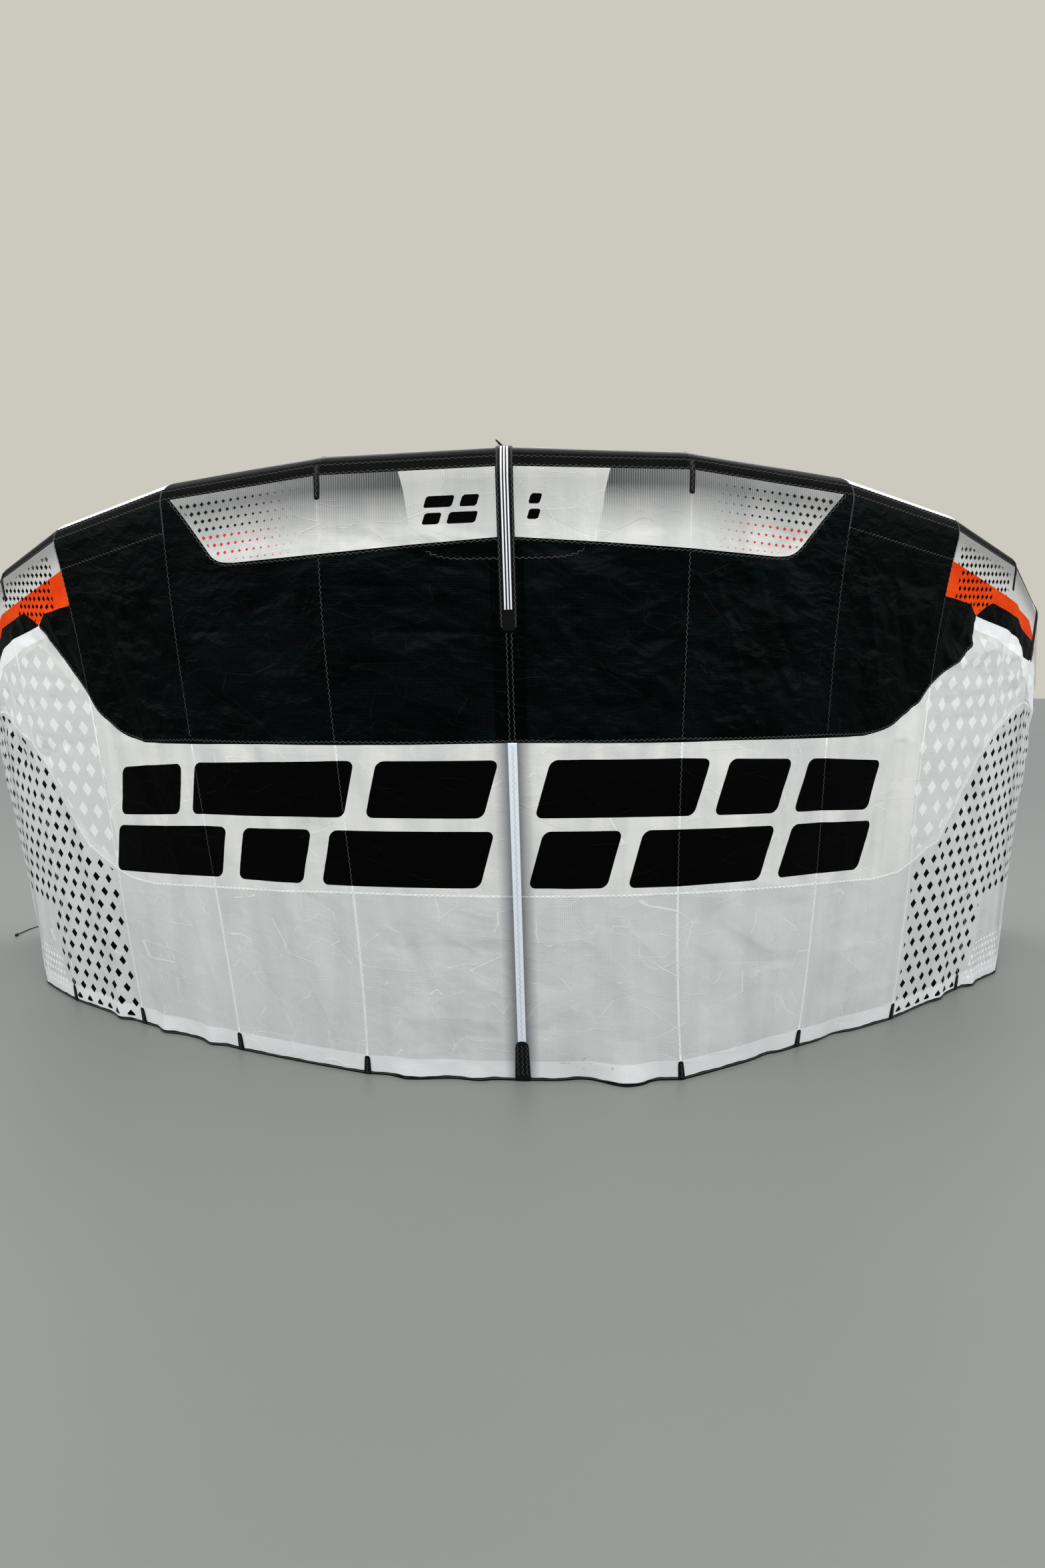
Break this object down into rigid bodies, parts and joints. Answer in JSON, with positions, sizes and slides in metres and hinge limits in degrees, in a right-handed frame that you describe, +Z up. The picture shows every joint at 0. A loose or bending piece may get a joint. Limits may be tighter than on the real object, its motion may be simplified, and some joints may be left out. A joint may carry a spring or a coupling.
{
  "type": "kitesurfing kite",
  "caption": "Inflatable leading-edge kite with struts, standing in a wide arc on its trailing edge, tips curled back.",
  "frame": {"origin": "centre of the flat foot of the centre strut's cap, on the surface the trailing edge stands on", "axes": "+X to the kite's right tip seen from its outer side (span), +Y from the outer side to the hollow side, +Z up to the leading edge"},
  "size_m": [4.2235, 1.9227, 1.8847],
  "materials": {
    "black_cloth": "thin black ripstop, slightly glossy",
    "white_cloth": "thin translucent white ripstop",
    "black_tube": "taut black sailcloth",
    "white_tube": "taut white sailcloth",
    "strut_cloth": "taut pale sailcloth",
    "black_tape": "stitched black webbing",
    "black_binding": "folded black tape, zigzag stitched",
    "black_line": "braided black line"
  },
  "bodies": {
    "root": {"canopy_l1": "black_cloth", "canopy_l2": "black_cloth", "canopy_l3": "black_cloth", "canopy_l4": "white_cloth", "canopy_l5": "white_cloth", "canopy_l6": "white_cloth", "canopy_l7": "white_cloth", "canopy_l8": "white_cloth", "canopy_r1": "black_cloth", "canopy_r2": "black_cloth", "canopy_r3": "black_cloth", "canopy_r4": "white_cloth", "canopy_r5": "white_cloth", "canopy_r6": "white_cloth", "canopy_r7": "white_cloth", "canopy_r8": "white_cloth", "le_tube_l1": "black_tube", "le_tube_l2": "black_tube", "le_tube_l3": "white_tube", "le_tube_l4": "white_tube", "le_tube_l5": "white_tube", "le_tube_l6": "white_tube", "le_tube_l7": "white_tube", "le_tube_l8": "white_tube", "le_tube_r1": "black_tube", "le_tube_r2": "black_tube", "le_tube_r3": "white_tube", "le_tube_r4": "white_tube", "le_tube_r5": "white_tube", "le_tube_r6": "white_tube", "le_tube_r7": "white_tube", "le_tube_r8": "white_tube", "strut_centre": "strut_cloth", "strut_left": "strut_cloth", "strut_right": "strut_cloth", "strut_patch_centre": "black_tape", "strut_patch_left": "black_tape", "strut_patch_right": "black_tape", "le_tab_l1": "black_tape", "le_tab_l4": "black_tape", "le_tab_r1": "black_tape", "le_tab_r4": "black_tape", "te_cap_centre": "black_tape", "stub_webbing": "black_tape", "te_tab_l1": "black_tape", "te_tab_l2": "black_tape", "te_tab_l3": "black_tape", "te_tab_l4": "black_tape", "te_tab_r1": "black_tape", "te_tab_r2": "black_tape", "te_tab_r3": "black_tape", "te_tab_r4": "black_tape", "te_binding_l_inner": "black_binding", "te_binding_l_outer": "black_binding", "te_binding_r_inner": "black_binding", "te_binding_r_outer": "black_binding", "pigtail_line": "black_line", "pigtail_knot": "black_line"}
  },
  "joints": []
}
